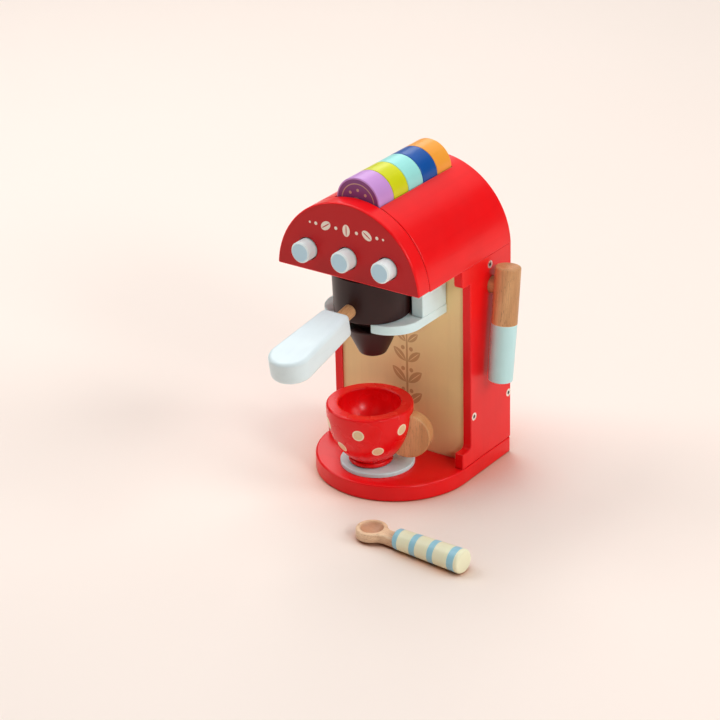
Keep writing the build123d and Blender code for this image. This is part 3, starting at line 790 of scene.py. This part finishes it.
def cup_outline():
    """Radius and height of the cup's outline, from the middle of its foot over the lip into the bowl."""
    waist_radius, waist_height = CUP_WAIST
    wide_radius, wide_height = CUP_WIDEST
    waist_turn = -acos(waist_radius / wide_radius)
    body_height = (wide_height - waist_height) / -sin(waist_turn)
    foot_radius = waist_radius - CUP_FOOT_INSET
    foot = round_arc((foot_radius, CUP_FOOT_ROUND), CUP_FOOT_ROUND, -pi / 2, CUP_FOOT_END, 16)
    body = arc((0, wide_height), (wide_radius, body_height), waist_turn, 0, 30)
    lip_radius, lip_height = wide_radius - CUP_LIP_ROUND, CUP_TOP - CUP_LIP_ROUND
    lip = round_arc((lip_radius, lip_height), CUP_LIP_ROUND, 0, pi / 2, 8)
    bowl_radius, bowl_height = CUP_BOWL
    mouth_height = CUP_TOP - CUP_MOUTH_ROUND
    mouth_turn = asin((mouth_height - bowl_height) / (bowl_radius + CUP_MOUTH_ROUND))
    mouth_radius = (bowl_radius + CUP_MOUTH_ROUND) * cos(mouth_turn)
    mouth = round_arc((mouth_radius, mouth_height), CUP_MOUTH_ROUND, pi / 2, pi + mouth_turn, 8)
    bowl = round_arc((0, bowl_height), bowl_radius, mouth_turn, -pi / 2, 36)
    return [
        (0, 0), (foot_radius - CUP_SHARP, 0), *foot,
        *body[1:], (wide_radius, lip_height - CUP_SHARP), *lip,
        (lip_radius - CUP_SHARP, CUP_TOP), (mouth_radius + CUP_SHARP, CUP_TOP), *mouth,
        *bowl[1:-1], (0, bowl_height - bowl_radius),
    ]


def turned(name, outline, foot):
    """Closed turned piece on an upright axis; its outline starts and ends on the axis."""
    form = bmesh.new()
    points = [form.verts.new(foot + Vector((radius, 0, height))) for radius, height in outline]
    edges = [form.edges.new(pair) for pair in zip(points, points[1:])]
    bmesh.ops.spin(form, geom=points + edges, cent=foot, axis=(0, 0, 1), angle=2 * pi, steps=CUP_STEPS)
    bmesh.ops.remove_doubles(form, verts=form.verts, dist=CUP_MERGE)
    bmesh.ops.recalc_face_normals(form, faces=form.faces)
    for face in form.faces:
        face.smooth = True
    mesh = bpy.data.meshes.new(name)
    form.to_mesh(mesh)
    form.free()
    piece = bpy.data.objects.new(name, mesh)
    bpy.context.scene.collection.objects.link(piece)
    return piece


def make_cup():
    """Turned cup with a flat lip and a rounded foot, in place of the plainer CAD turning."""
    piece = turned("cup_turning", cup_outline(), cup_axis())
    dots = ((cup_dots, DOT_RIM), (cup_dot_middles, DOT_CREAM))
    piece.data.materials.append(painted("red_cup", RED, prints=dots, roughness=CUP_ROUGHNESS))
    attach(piece, "cup")
    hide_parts("cup_body")


# ---------------------------------------------------------------- materials of the CAD nodes

WAND_TILT = radians(-6.8)
GRIP_DROOP = radians(10)
CUP_HANDLE_LIGHTEN = 1.12


def main_materials():
    """Gives each CAD node its material; cup_body is hidden behind the turned cup."""
    red_boards = painted("red_boards", RED)
    # Bracket, knobs and disc: less painted shade in the seams; knobs and disc: white edges as painted
    # highlight.
    bracket_blue = painted("bracket_paint", BRACKET_BLUE, "y", seam_shade=0.2)
    knob_blue = painted(
        "knob_paint", KNOB_BLUE, "y", prints=((knob_front_shade, KNOB_FRONT_SHADE),), seam_shade=0.1, edge_wear_and_highlight=1.0
    )
    boards = wood("bare_boards", BOARD_LIGHT, BOARD_DARK, "y", (0.02, 0, 0.12), ring=5 * MM)
    by_node = {
        "base_plate": painted("red_base", RED, "x"),
        "side_panel_left": red_boards,
        "side_panel_right": red_boards,
        "back_panel": red_boards,
        "head_front_plate": painted(
            "red_front", RED, "x",
            prints=((front_face_shade, FRONT_SHADE_RED), (head_ornament, ORNAMENT_CREAM), (knob_seat_shadows, SEAT_SHADOW)),
        ),
        "head_barrel": painted("red_barrel", RED, "y"),
        "head_back_plate": painted("red_back", RED, "x"),
        "front_panel": painted("cream_panel", CREAM_PANEL, prints=((panel_sprig, PANEL_BROWN),)),
        "cup_body": red_boards,
        "portafilter_handle": painted("handle_paint", PALE_BLUE, "y"),
        "drip_disc": painted("disc_paint", DISC_BLUE, "x", seam_shade=0.1, edge_wear_and_highlight=1.0),
        "portafilter_body": painted("brown_paint", BROWN, "x", BROWN_ROUGHNESS),
        "frother_tip": painted("aqua_paint", AQUA),
        "spoon_handle": painted("spoon_paint", BAND_CREAM, "x", prints=((spoon_bands, BAND_BLUE),)),
        # Scoop: strong painted shade in its hollow and down in its bowl.
        "spoon_scoop": wood(
            "spoon_wood", SPOON_LIGHT, SPOON_DARK, "x", (0.05, -0.115, -0.012),
            hollow_reach=9 * MM, hollow_shade=0.9, shade_overlays=((scoop_bowl_shade, BOWL_SHADE),),
        ),
        "frother_body": wood(
            "frother_wood", WOOD_LIGHT, WOOD_DARK, "z", (0.058, 0.028, 0), (WAND_TILT, 0, 0)
        ),
        "frother_peg": wood("peg_wood", WOOD_LIGHT, WOOD_DARK, "x", (0, 0.03, 0.155)),
        "cup_handle": wood(
            "handle_wood", shade(WOOD_LIGHT, CUP_HANDLE_LIGHTEN), shade(WOOD_DARK, CUP_HANDLE_LIGHTEN),
            "z", (0.04, -0.035, 0),
        ),
        "cup_handle_peg": wood("cup_peg_wood", WOOD_LIGHT, WOOD_DARK, "x", (0, -0.03, 0.05)),
        "portafilter_dowel": wood(
            "dowel_wood", WOOD_LIGHT, WOOD_DARK, "y", (0.008, 0, 0.142), (GRIP_DROOP, 0, 0)
        ),
    }
    for node in ("bracket_plate", "bracket_cheek_left", "bracket_cheek_right"):
        by_node[node] = bracket_blue
    for place in ("left", "centre", "right"):
        by_node[f"knob_{place}"] = knob_blue
    for side in ("left", "right"):
        by_node[f"pod_rail_{side}"] = boards
        by_node[f"side_screws_{side}"] = metal(f"side_screws_{side}")
    for node in ("top_board", "head_floor", "pod_tray_floor"):
        by_node[node] = boards
    collar_wood = wood("collar_wood", WOOD_LIGHT, WOOD_DARK, "y", (0.01, 0, 0.2))
    for place in ("left", "centre", "right"):
        by_node[f"knob_collar_{place}"] = collar_wood
    for colour, (side_colour, face_colour, motif_colour) in POD_COLOURS.items():
        prints = pod_prints(f"pod_{colour}", face_colour, motif_colour)
        by_node[f"pod_{colour}"] = painted(f"{colour}_paint", side_colour, "y", prints=prints)
    for name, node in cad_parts.items():
        node.data.materials.clear()
        node.data.materials.append(by_node[name])


make_camera()
make_stage()
main_materials()
make_cup()
